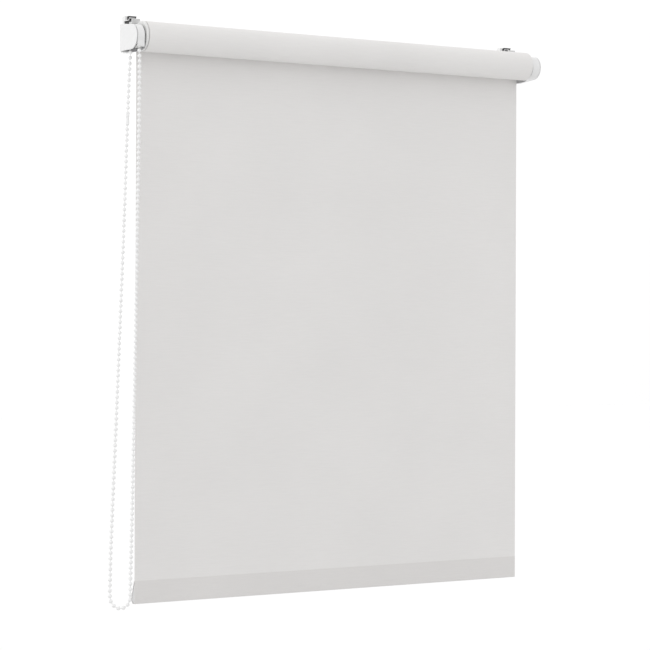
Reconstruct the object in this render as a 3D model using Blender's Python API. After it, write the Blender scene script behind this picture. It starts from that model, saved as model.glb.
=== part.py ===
"""Chain-operated roller blind that hooks over a window sash.

X runs along the width, from the chain-drive end towards the idle end. Y runs back into the window.
Z runs up.
The origin is on the drive housing's flat rear face, in the sprocket's plane, level with the roller's axis.
"""

import math

import bmesh
import bpy
from mathutils import Matrix, Vector

# Design sizes are in millimetres, and MM turns them into Blender's metres.
MM = 0.001
GAP = 0.3

# Roller and fabric
AXIS_Y = -28.5
FABRIC_LEFT = 10.7
FABRIC_WIDTH = 526.3
FABRIC_RIGHT = FABRIC_LEFT + FABRIC_WIDTH
FABRIC_THICK = 0.4
ROLL_RADIUS = 17.4
SHEET_FRONT = AXIS_Y + ROLL_RADIUS + 0.35
TUBE_RADIUS = 14.0
TUBE_WALL = 1.1
PLUG_RADIUS = TUBE_RADIUS - TUBE_WALL - 0.4
CHANNEL_WIDTH = 5.0
CHANNEL_DEPTH = 1.4

# Hem and bottom bar
HEM_TOP = -611.6
HEM_BOTTOM = -637.1
HEM_REAR = -1.6
HEM_SHOULDER = -632.5
HEM_NECK = 1.5
# The radii of the heel's lower and upper corners
HEM_HEEL = (1.4, 1.2)
BAR_TOP = -618.5
POCKET_WALL = 0.6
BAR_WALL = 1.2
BAR_CAP_LENGTH = 3.0
BAR_CAP_TOP = -614.6

# End housings
DRIVE_OUTER = -5.0
DRIVE_INNER = 5.0
IDLE_OUTER = FABRIC_RIGHT + 13.6
IDLE_INNER = FABRIC_RIGHT + 1.5
REAR_TOP = 15.9
REAR_BOTTOM = -16.6
DRIVE_COVER_BOTTOM = -14.9
IDLE_BOTTOM = -17.6
COVER_THICK = 1.2
COVER_BEVEL = 0.45
PARTING = 0.7
LIP_THICK = 0.9
LIP_DEPTH = 1.8
HOUSING_WALL = 1.1
NOSE_CENTRE = (-30.0, -1.4)
NOSE_RADIUS = 14.1
CHIN_FRONT = -43.4
CHIN_BOTTOM = -14.0
CHIN_CHAMFER = 1.6

# Bead chain and sprocket
BEAD_RADIUS = 2.25
BEAD_PITCH = 6.0
POCKETS = 9
PITCH_RADIUS = BEAD_PITCH / (2 * math.sin(math.pi / POCKETS))
SPROCKET_RADIUS = 10.3
SPROCKET_HALF = 2.2
NECK_RADIUS = 7.6
NECK_END = 12.0
CORE_RADIUS = 5.2
CORE_END = 44.0
POCKET_RADIUS = 2.6

# Drive sleeve and idle plug
FLANGE_RADIUS = 17.3
FLANGE_LEFT = 7.2
FLANGE_RIGHT = 10.1
SLEEVE_END = 48.0
PLUG_START = 500.0
PIN_RADIUS = 4.0
PIN_START = 516.0
PIN_END = 546.0

# Over-sash hooks
LUG_WIDTH = 9.8
LUG_FRONT = -8.0
LUG_TOP = 22.3
LUG_BOTTOM = 16.6
TAB_LOW = 14.8
PLATE_TOP = 15.4
PLATE_INSET = 1.2
# The lower edges of the two brackets, from the front to the rear, as (y, z)
DRIVE_PLATE_FOOT = ((-42.2, -15.2), (-24.0, -16.8), (-0.2, -15.8))
IDLE_PLATE_FOOT = ((-40.6, -10.5), (-27.0, -18.6), (-0.2, -19.4))
SHELF_TOP = 18.9
DRIVE_LUG_LEFT = 6.7
IDLE_LUG_LEFT = FABRIC_RIGHT - 10.2
STRAP_WIDTH = 7.4
STRAP_LOW = 19.2
STRAP_HIGH = 21.0
STRAP_END = 13.0
SEAT_LOW = 18.9
SEAT_START = 0.2
SLOT_START = 2.6
SLOT_END = STRAP_END - 1.4
SLOT_HALF = 1.0
RECESS_HALF = 2.7
RECESS_TOP = 20.2
FOOT_LENGTH = 1.9
LEG_LOW = 4.0
BLOCK_TOP = 27.1
BLOCK_REAR = 17.5
LEVER_PIVOT = (5.1, 23.8)
LEVER_FRONT = 1.2
LEVER_BACK = 4.2
LEVER_TOP = 26.2
LEVER_THICK = 0.95
BLOCK_FRONT_TOP = 24.9
LEVER_EAR = 0.9
LEVER_CLEAR_Y = 10.0
PIVOT_BORE = 0.8
EAR_RADIUS = 1.4

ARC_STEP = math.radians(8)
ROUND_SEGMENTS = 48


def start_clean():
    for obj in list(bpy.data.objects):
        bpy.data.objects.remove(obj, do_unlink=True)


def make_material(name, color, roughness, metallic=0.0):
    material = bpy.data.materials.new(name)
    material.use_nodes = True
    shader = material.node_tree.nodes["Principled BSDF"]
    shader.inputs["Base Color"].default_value = (*color, 1.0)
    shader.inputs["Roughness"].default_value = roughness
    shader.inputs["Metallic"].default_value = metallic
    return material


def finish_object(name, bm, material, origin=(0.0, 0.0, 0.0), smooth=True):
    """Turns a bmesh drawn in millimetres into an object whose origin is at the given point."""
    bmesh.ops.recalc_face_normals(bm, faces=bm.faces)
    bmesh.ops.translate(bm, verts=bm.verts, vec=-Vector(origin))
    bmesh.ops.scale(bm, verts=bm.verts, vec=(MM, MM, MM))
    mesh = bpy.data.meshes.new(name)
    bm.to_mesh(mesh)
    bm.free()
    if smooth:
        mesh.shade_smooth()
        mesh.set_sharp_from_angle(angle=math.radians(35))
    obj = bpy.data.objects.new(name, mesh)
    obj.location = Vector(origin) * MM
    if material is not None:
        mesh.materials.append(material)
    bpy.context.scene.collection.objects.link(obj)
    return obj


# Outlines are lists of (y, z) points.


def rounded(corners, segments=4):
    """An outline whose corners (y, z, radius) are replaced by arcs. A radius of 0 keeps the point."""
    points = []
    count = len(corners)
    for i, (y, z, radius) in enumerate(corners):
        here = Vector((y, z))
        before = (Vector(corners[i - 1][:2]) - here).normalized()
        after = (Vector(corners[(i + 1) % count][:2]) - here).normalized()
        if radius <= 0:
            points.append(here)
            continue
        half = before.angle(after) / 2
        centre = here + (before + after).normalized() * (radius / math.sin(half))
        first = here + before * (radius / math.tan(half)) - centre
        last = here + after * (radius / math.tan(half)) - centre
        sweep = first.angle_signed(last)
        start = math.atan2(first.y, first.x)
        for k in range(segments + 1):
            angle = start - sweep * k / segments
            points.append(centre + radius * Vector((math.cos(angle), math.sin(angle))))
    return [(p.x, p.y) for p in points]


def inset_corners(corners, distance):
    """Anticlockwise corners moved inwards by a distance, each radius shrunk to match."""
    moved = []
    count = len(corners)
    for i, (y, z, radius) in enumerate(corners):
        here = Vector((y, z))
        into = (here - Vector(corners[i - 1][:2])).normalized()
        out = (Vector(corners[(i + 1) % count][:2]) - here).normalized()
        left_in = Vector((-into.y, into.x))
        left_out = Vector((-out.y, out.x))
        mitre = (left_in + left_out) / (1 + left_in.dot(left_out))
        spot = here + mitre * distance
        moved.append((spot.x, spot.y, max(radius - distance, 0.2) if radius > 0 else 0))
    return moved


def inset_outline(outline, distance):
    return [(y, z) for y, z, _ in inset_corners([(y, z, 0) for y, z in outline], distance)]


def circle_points(radius, centre, segments=ROUND_SEGMENTS):
    angles = [2 * math.pi * k / segments for k in range(segments)]
    return [(centre[0] + radius * math.cos(a), centre[1] + radius * math.sin(a)) for a in angles]


def arc_points(centre, radius, start, end):
    """Points on an arc from one angle to another, in degrees, anticlockwise."""
    sweep = math.radians(end - start)
    steps = max(2, math.ceil(sweep / ARC_STEP))
    angles = [math.radians(start) + sweep * k / steps for k in range(steps + 1)]
    return [(centre[0] + radius * math.cos(a), centre[1] + radius * math.sin(a)) for a in angles]


def tangent_angle(point, centre, radius, side):
    """The angle on a circle, in degrees, where the line from a point touches it, above (+1) or below (-1)."""
    away = Vector(point) - Vector(centre)
    spread = math.acos(radius / away.length)
    return math.degrees(math.atan2(away.y, away.x) + side * spread)


def nose_outline(rear_bottom, with_chin=False):
    """The end housing's outline: flat rear, tapering top, round nose. The drive end has a squarer chin."""
    top = (0.0, REAR_TOP)
    bottom = (0.0, rear_bottom)
    start = tangent_angle(top, NOSE_CENTRE, NOSE_RADIUS, 1)
    if with_chin:
        chin_arc_end = 180 + math.degrees(
            math.acos(-(CHIN_FRONT - NOSE_CENTRE[0]) / NOSE_RADIUS)
        )
        nose = arc_points(NOSE_CENTRE, NOSE_RADIUS, start, chin_arc_end)
        chin = [
            (CHIN_FRONT, CHIN_BOTTOM + CHIN_CHAMFER),
            (CHIN_FRONT + CHIN_CHAMFER, CHIN_BOTTOM),
        ]
        return [top, *nose, *chin, bottom]
    end = 360 + tangent_angle(bottom, NOSE_CENTRE, NOSE_RADIUS, -1)
    return [top, *arc_points(NOSE_CENTRE, NOSE_RADIUS, start, end), bottom]


# Solids


def prism_mesh(outline, low, high):
    bm = bmesh.new()
    face = bm.faces.new([bm.verts.new((low, y, z)) for y, z in outline])
    grown = bmesh.ops.extrude_face_region(bm, geom=[face])
    moved = [v for v in grown["geom"] if isinstance(v, bmesh.types.BMVert)]
    bmesh.ops.translate(bm, verts=moved, vec=(high - low, 0, 0))
    return bm


def prism(name, outline, low, high, material, origin=(0.0, 0.0, 0.0)):
    """An outline pushed out along X."""
    return finish_object(name, prism_mesh(outline, low, high), material, origin)


def ring_prism(name, outer, inner, low, high, material, origin=(0.0, 0.0, 0.0)):
    """A hollow section pushed out along X: the two outlines have the same number of points."""
    bm = bmesh.new()
    loops = []
    for outline, x in ((outer, low), (outer, high), (inner, high), (inner, low)):
        verts = [bm.verts.new((x, y, z)) for y, z in outline]
        loops.append(verts)
    count = len(outer)
    for first, second in zip(loops, loops[1:] + loops[:1]):
        for k in range(count):
            after = (k + 1) % count
            bm.faces.new((first[k], first[after], second[after], second[k]))
    return finish_object(name, bm, material, origin)


def box_mesh(low, high):
    bm = bmesh.new()
    bmesh.ops.create_cube(bm, size=1.0)
    size = [b - a for a, b in zip(low, high)]
    middle = [(a + b) / 2 for a, b in zip(low, high)]
    bmesh.ops.scale(bm, verts=bm.verts, vec=size)
    bmesh.ops.translate(bm, verts=bm.verts, vec=middle)
    return bm


def box(name, low, high, material, origin=(0.0, 0.0, 0.0)):
    return finish_object(name, box_mesh(low, high), material, origin, smooth=False)


def turned(name, profile, material, centre, axis="X", segments=ROUND_SEGMENTS, origin=None):
    """A closed profile of (along, radius) points spun round a line through centre."""
    bm = bmesh.new()
    along_x = axis == "X"
    verts = []
    for along, radius in profile:
        if along_x:
            place = (along, centre[1], centre[2] + radius)
        else:
            place = (centre[0] + radius, centre[1], along)
        verts.append(bm.verts.new(place))
    edges = [bm.edges.new((a, b)) for a, b in zip(verts, verts[1:] + verts[:1])]
    direction = (1, 0, 0) if along_x else (0, 0, 1)
    bmesh.ops.spin(
        bm,
        geom=verts + edges,
        cent=centre,
        axis=direction,
        angle=2 * math.pi,
        steps=segments,
        use_merge=True,
    )
    bmesh.ops.remove_doubles(bm, verts=bm.verts, dist=1e-4)
    # An edge of the profile that lies on the axis leaves no face, so it is cleared away.
    loose = [e for e in bm.edges if not e.link_faces]
    bmesh.ops.delete(bm, geom=loose, context="EDGES")
    return finish_object(name, bm, material, origin or centre)


def round_cutter(name, low, high, radius, centre, segments=ROUND_SEGMENTS):
    """A plain cylinder along X, for a bore."""
    profile = [(low, 0), (low, radius), (high, radius), (high, 0)]
    return turned(name, profile, None, centre, segments=segments)


def change(obj, other, operation):
    """A Boolean with a helper, which stays in the scene as a hidden wire."""
    other.hide_render = True
    other.display_type = "WIRE"
    modifier = obj.modifiers.new(operation.lower(), "BOOLEAN")
    modifier.operation = operation
    modifier.object = other
    modifier.solver = "EXACT"
    return obj


def cut(obj, cutter):
    return change(obj, cutter, "DIFFERENCE")


def join(obj, addition):
    return change(obj, addition, "UNION")


def bevel(obj, width, segments=1, angle=50):
    modifier = obj.modifiers.new("bevel", "BEVEL")
    modifier.width = width * MM
    modifier.segments = segments
    modifier.limit_method = "ANGLE"
    modifier.angle_limit = math.radians(angle)
    return obj


def tube_along(name, points, radius, material, radii=None, bevel_resolution=2):
    """A round bar along points, with closed ends. radii scales it point by point."""
    curve = bpy.data.curves.new(name, "CURVE")
    curve.dimensions = "3D"
    curve.bevel_depth = radius * MM
    curve.bevel_resolution = bevel_resolution
    curve.use_fill_caps = True
    spline = curve.splines.new("POLY")
    spline.points.add(len(points) - 1)
    for k, point in enumerate(points):
        spline.points[k].co = (*(Vector(point) * MM), 1.0)
        spline.points[k].radius = 1.0 if radii is None else radii[k]
    curve.materials.append(material)
    obj = bpy.data.objects.new(name, curve)
    bpy.context.scene.collection.objects.link(obj)
    return obj


def coil(name, start, end, radius, wire, turns, centre, material):
    """A coil spring along X."""
    steps = turns * 12
    points = []
    for k in range(steps + 1):
        angle = 2 * math.pi * turns * k / steps
        x = start + (end - start) * k / steps
        points.append((x, centre[1] + radius * math.cos(angle), centre[2] + radius * math.sin(angle)))
    return tube_along(name, points, wire, material, bevel_resolution=1)


# Sub-parts

AXIS = (0.0, AXIS_Y, 0.0)


def end_cover(name, outer, inner, rear_bottom, material, opening=None):
    """A flat cover with a lip that enters the housing and closes the joint between them."""
    outline = nose_outline(rear_bottom)
    cover = prism(name, outline, min(outer, inner), max(outer, inner), material)
    bevel(cover, COVER_BEVEL, segments=3)
    lip_outer = inset_outline(outline, HOUSING_WALL + GAP)
    lip_inner = inset_outline(outline, HOUSING_WALL + GAP + LIP_THICK)
    reach = LIP_DEPTH if inner > outer else -LIP_DEPTH
    low, high = sorted((inner - reach / 10, inner + reach))
    lip = ring_prism(name + "_lip", lip_outer, lip_inner, low, high, None)
    if opening is not None:
        cut(lip, opening)
    return join(cover, lip)


def end_housing(name, open_face, inner_face, outline, hole_radius, material):
    """A shell that is open towards its cover. Its inner wall has a hole on the roller's axis."""
    low, high = sorted((open_face, inner_face))
    shell = prism(name, outline, low, high, material)
    hollow = inset_outline(outline, HOUSING_WALL)
    if open_face < inner_face:
        cutter = prism(name + "_hollow", hollow, low - 1, high - HOUSING_WALL, None)
    else:
        cutter = prism(name + "_hollow", hollow, low + HOUSING_WALL, high + 1, None)
    cut(shell, cutter)
    cut(shell, round_cutter(name + "_bore", low - 2, high + 2, hole_radius, AXIS))
    return shell


def drive_end(plastic, steel):
    cover_inner = DRIVE_OUTER + COVER_THICK
    open_face = cover_inner + PARTING
    outline = nose_outline(REAR_BOTTOM, with_chin=True)
    housing = end_housing("drive_housing", open_face, DRIVE_INNER, outline, NECK_RADIUS + 0.4, plastic)
    # The mouth takes away the bottom and the foot of the inner wall, so the bracket closes that side.
    mouth = box(
        "drive_mouth",
        (open_face - 1, CHIN_FRONT + HOUSING_WALL, -20.0),
        (DRIVE_INNER + 1, -6.0, -10.5),
        None,
    )
    cut(housing, mouth)
    end_cover("drive_cover", DRIVE_OUTER, cover_inner, DRIVE_COVER_BOTTOM, plastic, mouth)
    # The guide plate keeps the two strands apart and turns the front one into the mouth's front corner.
    box("chain_guide", (-2.6, -36.9, -14.6), (DRIVE_INNER + 0.1, -35.7, -11.0), plastic)
    sprocket(plastic)
    core = [
        (cover_inner + GAP, 0),
        (cover_inner + GAP, 6.6),
        (cover_inner + 0.8, 6.6),
        (cover_inner + 0.8, CORE_RADIUS),
        (CORE_END, CORE_RADIUS),
        (CORE_END, 0),
    ]
    turned("clutch_core", core, plastic, AXIS, segments=32)
    cap = [
        (CORE_END + GAP, 0),
        (CORE_END + GAP, CORE_RADIUS + 1.6),
        (CORE_END + 2.0, CORE_RADIUS + 1.6),
        (CORE_END + 2.0, 0),
    ]
    turned("core_end_cap", cap, steel, AXIS, segments=32)
    for letter, start in (("a", 15.0), ("b", 29.0)):
        coil("brake_spring_" + letter, start, start + 10.0, CORE_RADIUS + 0.8, 0.4, 6, AXIS, steel)


def sprocket(material):
    """The chain wheel and the hollow neck that turns the drive sleeve."""
    bore = CORE_RADIUS + GAP
    wheel = [
        (-SPROCKET_HALF, bore),
        (-SPROCKET_HALF, SPROCKET_RADIUS - 0.5),
        (-SPROCKET_HALF + 0.5, SPROCKET_RADIUS),
        (-1.0, SPROCKET_RADIUS),
        (-1.0, PITCH_RADIUS - 1.1),
        (1.0, PITCH_RADIUS - 1.1),
        (1.0, SPROCKET_RADIUS),
        (SPROCKET_HALF - 0.5, SPROCKET_RADIUS),
        (SPROCKET_HALF, SPROCKET_RADIUS - 0.5),
        (SPROCKET_HALF, NECK_RADIUS),
        (NECK_END, NECK_RADIUS),
        (NECK_END, bore),
    ]
    body = turned("sprocket", wheel, material, AXIS)
    bm = bmesh.new()
    for k in range(POCKETS):
        angle = bead_angle(k)
        place = (0, AXIS_Y + PITCH_RADIUS * math.cos(angle), PITCH_RADIUS * math.sin(angle))
        ball = bmesh.ops.create_uvsphere(bm, u_segments=12, v_segments=8, radius=POCKET_RADIUS)
        turn = Matrix.Rotation(angle, 3, "X")
        bmesh.ops.rotate(bm, verts=ball["verts"], cent=(0, 0, 0), matrix=turn)
        bmesh.ops.translate(bm, verts=ball["verts"], vec=place)
    cut(body, finish_object("sprocket_pockets", bm, None, AXIS))


def bead_angle(k):
    """Pocket angles from the rear level, with one pocket at the very top."""
    return math.radians(10) + 2 * math.pi * k / POCKETS


def bead_string(angles, plane_x):
    """Points and radius factors along an arc of beads on the pitch circle."""
    shape = ((-2.2, 0.28), (-1.9, 0.55), (-1.1, 0.88), (0.0, 1.0), (1.1, 0.88), (1.9, 0.55), (2.2, 0.28))
    points = []
    factors = []
    for angle in angles:
        for offset, factor in shape:
            at = angle + offset / PITCH_RADIUS
            points.append((plane_x, AXIS_Y + PITCH_RADIUS * math.cos(at), PITCH_RADIUS * math.sin(at)))
            factors.append(factor)
    return points, factors


def chain(bead_material):
    """The beads that lie on the sprocket, and the free loop below as a plain tube of the beads' size."""
    points, factors = bead_string([bead_angle(k) for k in range(5)], 0.0)
    tube_along("chain_wrap", points, BEAD_RADIUS, bead_material, factors)
    tube_along("chain_loop", smooth_route(CHAIN_LOOP, LOOP_STEPS), BEAD_RADIUS, bead_material)
    tube_along("chain_tail", smooth_route(CHAIN_TAIL, TAIL_STEPS), BEAD_RADIUS, bead_material)
    low, high = CONNECTOR_LOW, CONNECTOR_HIGH
    middle = (Vector(low) + Vector(high)) / 2
    half = (high[2] - low[2]) / 2
    barrel = [
        (-half, 0),
        (-half, CONNECTOR_RADIUS - 0.6),
        (-half + 0.6, CONNECTOR_RADIUS),
        (half - 0.6, CONNECTOR_RADIUS),
        (half, CONNECTOR_RADIUS - 0.6),
        (half, 0),
    ]
    profile = [(middle.z + along, radius) for along, radius in barrel]
    turned("chain_connector", profile, bead_material, tuple(middle), axis="Z", segments=16)


# The free loop: down the front strand, round the bottom and up the rear strand to the connector.
CHAIN_LOOP = (
    (0.2, -39.4, -11.6),
    (0.8, -39.5, -24.0),
    (1.0, -39.4, -52.0),
    (0.6, -39.2, -106.0),
    (-0.6, -38.9, -200.0),
    (-2.0, -38.5, -300.0),
    (-3.4, -38.0, -400.0),
    (-4.9, -37.5, -500.0),
    (-6.2, -36.9, -572.0),
    (-6.9, -36.6, -606.0),
    (-7.2, -36.4, -626.0),
    (-8.5, -35.2, -632.0),
    (-11.6, -32.4, -636.4),
    (-15.9, -28.6, -638.0),
    (-20.2, -24.8, -636.2),
    (-23.3, -22.0, -631.6),
    (-24.5, -20.9, -625.0),
    (-24.3, -20.7, -606.0),
    (-23.4, -20.5, -572.0),
    (-20.3, -20.2, -500.0),
    (-16.0, -20.0, -400.0),
    (-11.9, -19.8, -300.0),
    (-7.9, -19.6, -200.0),
    (-4.4, -19.3, -98.0),
)
# The rear strand from the connector up to the mouth.
CHAIN_TAIL = (
    (-3.9, -19.3, -86.0),
    (-2.6, -19.1, -54.0),
    (-1.4, -19.3, -30.0),
    (-0.3, -19.6, -11.6),
)
LOOP_STEPS = 130
TAIL_STEPS = 5
CONNECTOR_LOW = (-4.2, -19.3, -97.6)
CONNECTOR_HIGH = (-4.2, -19.3, -86.4)
CONNECTOR_RADIUS = 2.1


def smooth_route(points, steps):
    """Points at even spacing along a smooth curve through the given ones."""
    dense = []
    padded = [points[0], *points, points[-1]]
    for a, b, c, d in zip(padded, padded[1:], padded[2:], padded[3:]):
        a, b, c, d = Vector(a), Vector(b), Vector(c), Vector(d)
        # Tangents are scaled to the span, so uneven spacing makes no bulge.
        span = (c - b).length
        start = (c - a).normalized() * span
        end = (d - b).normalized() * span
        for k in range(24):
            t = k / 24
            dense.append(
                b * (2 * t**3 - 3 * t**2 + 1)
                + start * (t**3 - 2 * t**2 + t)
                + c * (-2 * t**3 + 3 * t**2)
                + end * (t**3 - t**2)
            )
    dense.append(Vector(points[-1]))
    lengths = [0.0]
    for first, second in zip(dense, dense[1:]):
        lengths.append(lengths[-1] + (second - first).length)
    even = []
    place = 0
    for k in range(steps + 1):
        want = lengths[-1] * k / steps
        while place < len(lengths) - 2 and lengths[place + 1] < want:
            place += 1
        share = (want - lengths[place]) / max(lengths[place + 1] - lengths[place], 1e-9)
        even.append(tuple(dense[place].lerp(dense[place + 1], min(share, 1.0))))
    return even


def tube_section():
    """The tube's outer and inner outlines, with a channel along the top for the fabric's edge strip."""
    half = CHANNEL_WIDTH / 2
    inner_radius = TUBE_RADIUS - TUBE_WALL
    floor = TUBE_RADIUS - CHANNEL_DEPTH
    outer_edge = math.degrees(math.asin(half / TUBE_RADIUS))
    inner_edge = math.degrees(math.asin((half + TUBE_WALL) / inner_radius))
    steps = 36
    outlines = []
    for radius, edge, width, level in (
        (TUBE_RADIUS, outer_edge, half, floor),
        (inner_radius, inner_edge, half + TUBE_WALL, floor - TUBE_WALL),
    ):
        sweep = 360 - 2 * edge
        angles = [math.radians(90 + edge + sweep * k / steps) for k in range(steps + 1)]
        outline = [(AXIS_Y + radius * math.cos(a), radius * math.sin(a)) for a in angles]
        outline += [(AXIS_Y + width, level), (AXIS_Y - width, level)]
        outlines.append(outline)
    return outlines


def keyway(name, low, high):
    """The cutter for the groove that a plug needs where the tube's channel bulges inwards."""
    half = CHANNEL_WIDTH / 2 + TUBE_WALL + 0.4
    floor = TUBE_RADIUS - CHANNEL_DEPTH - TUBE_WALL - 0.4
    return box(name, (low, AXIS_Y - half, floor), (high, AXIS_Y + half, FLANGE_RADIUS), None)


def roller(plastic, aluminium, fabric, tape):
    tube_left = FLANGE_RIGHT + 0.4
    neck_bore = NECK_RADIUS + GAP
    spring_bore = CORE_RADIUS + 2.2
    sleeve = [
        (FLANGE_LEFT, neck_bore),
        (FLANGE_LEFT, FLANGE_RADIUS - 0.6),
        (FLANGE_LEFT + 0.6, FLANGE_RADIUS),
        (FLANGE_RIGHT - 0.4, FLANGE_RADIUS),
        (FLANGE_RIGHT, FLANGE_RADIUS - 0.4),
        (FLANGE_RIGHT, PLUG_RADIUS),
        (SLEEVE_END, PLUG_RADIUS),
        (SLEEVE_END, spring_bore),
        (NECK_END + 0.6, spring_bore),
        (NECK_END + 0.6, neck_bore),
    ]
    drive = turned("drive_sleeve", sleeve, plastic, AXIS)
    cut(drive, keyway("sleeve_keyway", FLANGE_RIGHT + 0.2, SLEEVE_END + 1))
    outer, inner = tube_section()
    ring_prism("roller_tube", outer, inner, tube_left, FABRIC_RIGHT, aluminium, AXIS)
    half = CHANNEL_WIDTH / 2 - GAP
    low = TUBE_RADIUS - CHANNEL_DEPTH + GAP
    box(
        "edge_strip",
        (FABRIC_LEFT, AXIS_Y - half, low),
        (FABRIC_RIGHT, AXIS_Y + half, TUBE_RADIUS - GAP),
        tape,
        AXIS,
    )
    around = (AXIS_Y, 0.0)
    ring_prism(
        "fabric_roll",
        circle_points(ROLL_RADIUS, around, 56),
        circle_points(TUBE_RADIUS + GAP, around, 56),
        FABRIC_LEFT,
        FABRIC_RIGHT,
        fabric,
        AXIS,
    )


def idle_end(plastic, steel):
    end_cover("idle_cover", IDLE_OUTER, IDLE_OUTER - COVER_THICK, IDLE_BOTTOM, plastic)
    open_face = IDLE_OUTER - COVER_THICK - PARTING
    end_housing("idle_housing", open_face, IDLE_INNER, nose_outline(IDLE_BOTTOM), PIN_RADIUS + 0.6, plastic)
    pin_bore = PIN_RADIUS + 0.4
    bush_start = IDLE_INNER + HOUSING_WALL + GAP
    bush = [
        (bush_start, pin_bore),
        (bush_start, 7.0),
        (open_face, 7.0),
        (open_face, pin_bore),
    ]
    turned("idle_bush", bush, plastic, AXIS, segments=32)
    plug_end = FABRIC_RIGHT - 0.2
    plug = [
        (PLUG_START, 1.5),
        (PLUG_START, PLUG_RADIUS),
        (plug_end, PLUG_RADIUS),
        (plug_end, pin_bore),
        (PLUG_START + 2.0, pin_bore),
        (PLUG_START + 2.0, 1.5),
    ]
    body = turned("idle_plug", plug, plastic, AXIS)
    cut(body, keyway("plug_keyway", PLUG_START - 1, plug_end + 1))
    pin = [
        (PIN_START, 0),
        (PIN_START, PIN_RADIUS),
        (PIN_END - 0.8, PIN_RADIUS),
        (PIN_END, PIN_RADIUS - 0.8),
        (PIN_END, 0),
    ]
    turned("idle_pin", pin, steel, AXIS, segments=24)
    coil(
        "idle_spring",
        PLUG_START + 2.0 + 0.4 + GAP,
        PIN_START - 0.4 - GAP,
        PIN_RADIUS - 0.6,
        0.4,
        6,
        AXIS,
        steel,
    )


def hem_corners(top):
    """The hem's section up to a given height: flat in front, slanting out behind to a rounded heel."""
    share = (HEM_TOP - top) / (HEM_TOP - HEM_SHOULDER)
    rear = SHEET_FRONT + HEM_NECK + share * (HEM_REAR - SHEET_FRONT - HEM_NECK)
    return [
        (SHEET_FRONT, top, 0),
        (SHEET_FRONT, HEM_BOTTOM, 1.0),
        (HEM_REAR - 3.2, HEM_BOTTOM, HEM_HEEL[0]),
        (HEM_REAR, HEM_SHOULDER, HEM_HEEL[1]),
        (rear, top, 0),
    ]


def hanging_fabric(fabric, aluminium, plastic):
    box(
        "fabric_sheet",
        (FABRIC_LEFT, SHEET_FRONT, HEM_TOP + GAP),
        (FABRIC_RIGHT, SHEET_FRONT + FABRIC_THICK, 0.0),
        fabric,
    )
    hem = hem_corners(HEM_TOP)
    ring_prism(
        "hem_pocket",
        rounded(hem),
        rounded(inset_corners(hem, POCKET_WALL)),
        FABRIC_LEFT,
        FABRIC_RIGHT,
        fabric,
    )
    bar = inset_corners(hem_corners(BAR_TOP), POCKET_WALL + GAP)
    cap_start = FABRIC_LEFT + 0.4
    bar_start = cap_start + BAR_CAP_LENGTH + GAP
    bar_end = FABRIC_RIGHT - 0.4 - BAR_CAP_LENGTH - GAP
    inner = rounded(inset_corners(bar, BAR_WALL))
    ring_prism("bottom_bar", rounded(bar), inner, bar_start, bar_end, aluminium)
    # The caps fill the pocket's whole wedge, above the bar too.
    cap = rounded(inset_corners(hem_corners(BAR_CAP_TOP), POCKET_WALL + GAP))
    prism("bar_cap_left", cap, cap_start, cap_start + BAR_CAP_LENGTH, plastic)
    prism("bar_cap_right", cap, bar_end + GAP, bar_end + GAP + BAR_CAP_LENGTH, plastic)


def bracket_outline(front_corners):
    """A plate just inside the housing's outline. Its lower edge hangs a little below the housing."""
    radius = NOSE_RADIUS - PLATE_INSET
    top = (-0.2, PLATE_TOP)
    start = tangent_angle(top, NOSE_CENTRE, radius, 1)
    return [top, *arc_points(NOSE_CENTRE, radius, start, 190), *front_corners]


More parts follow.
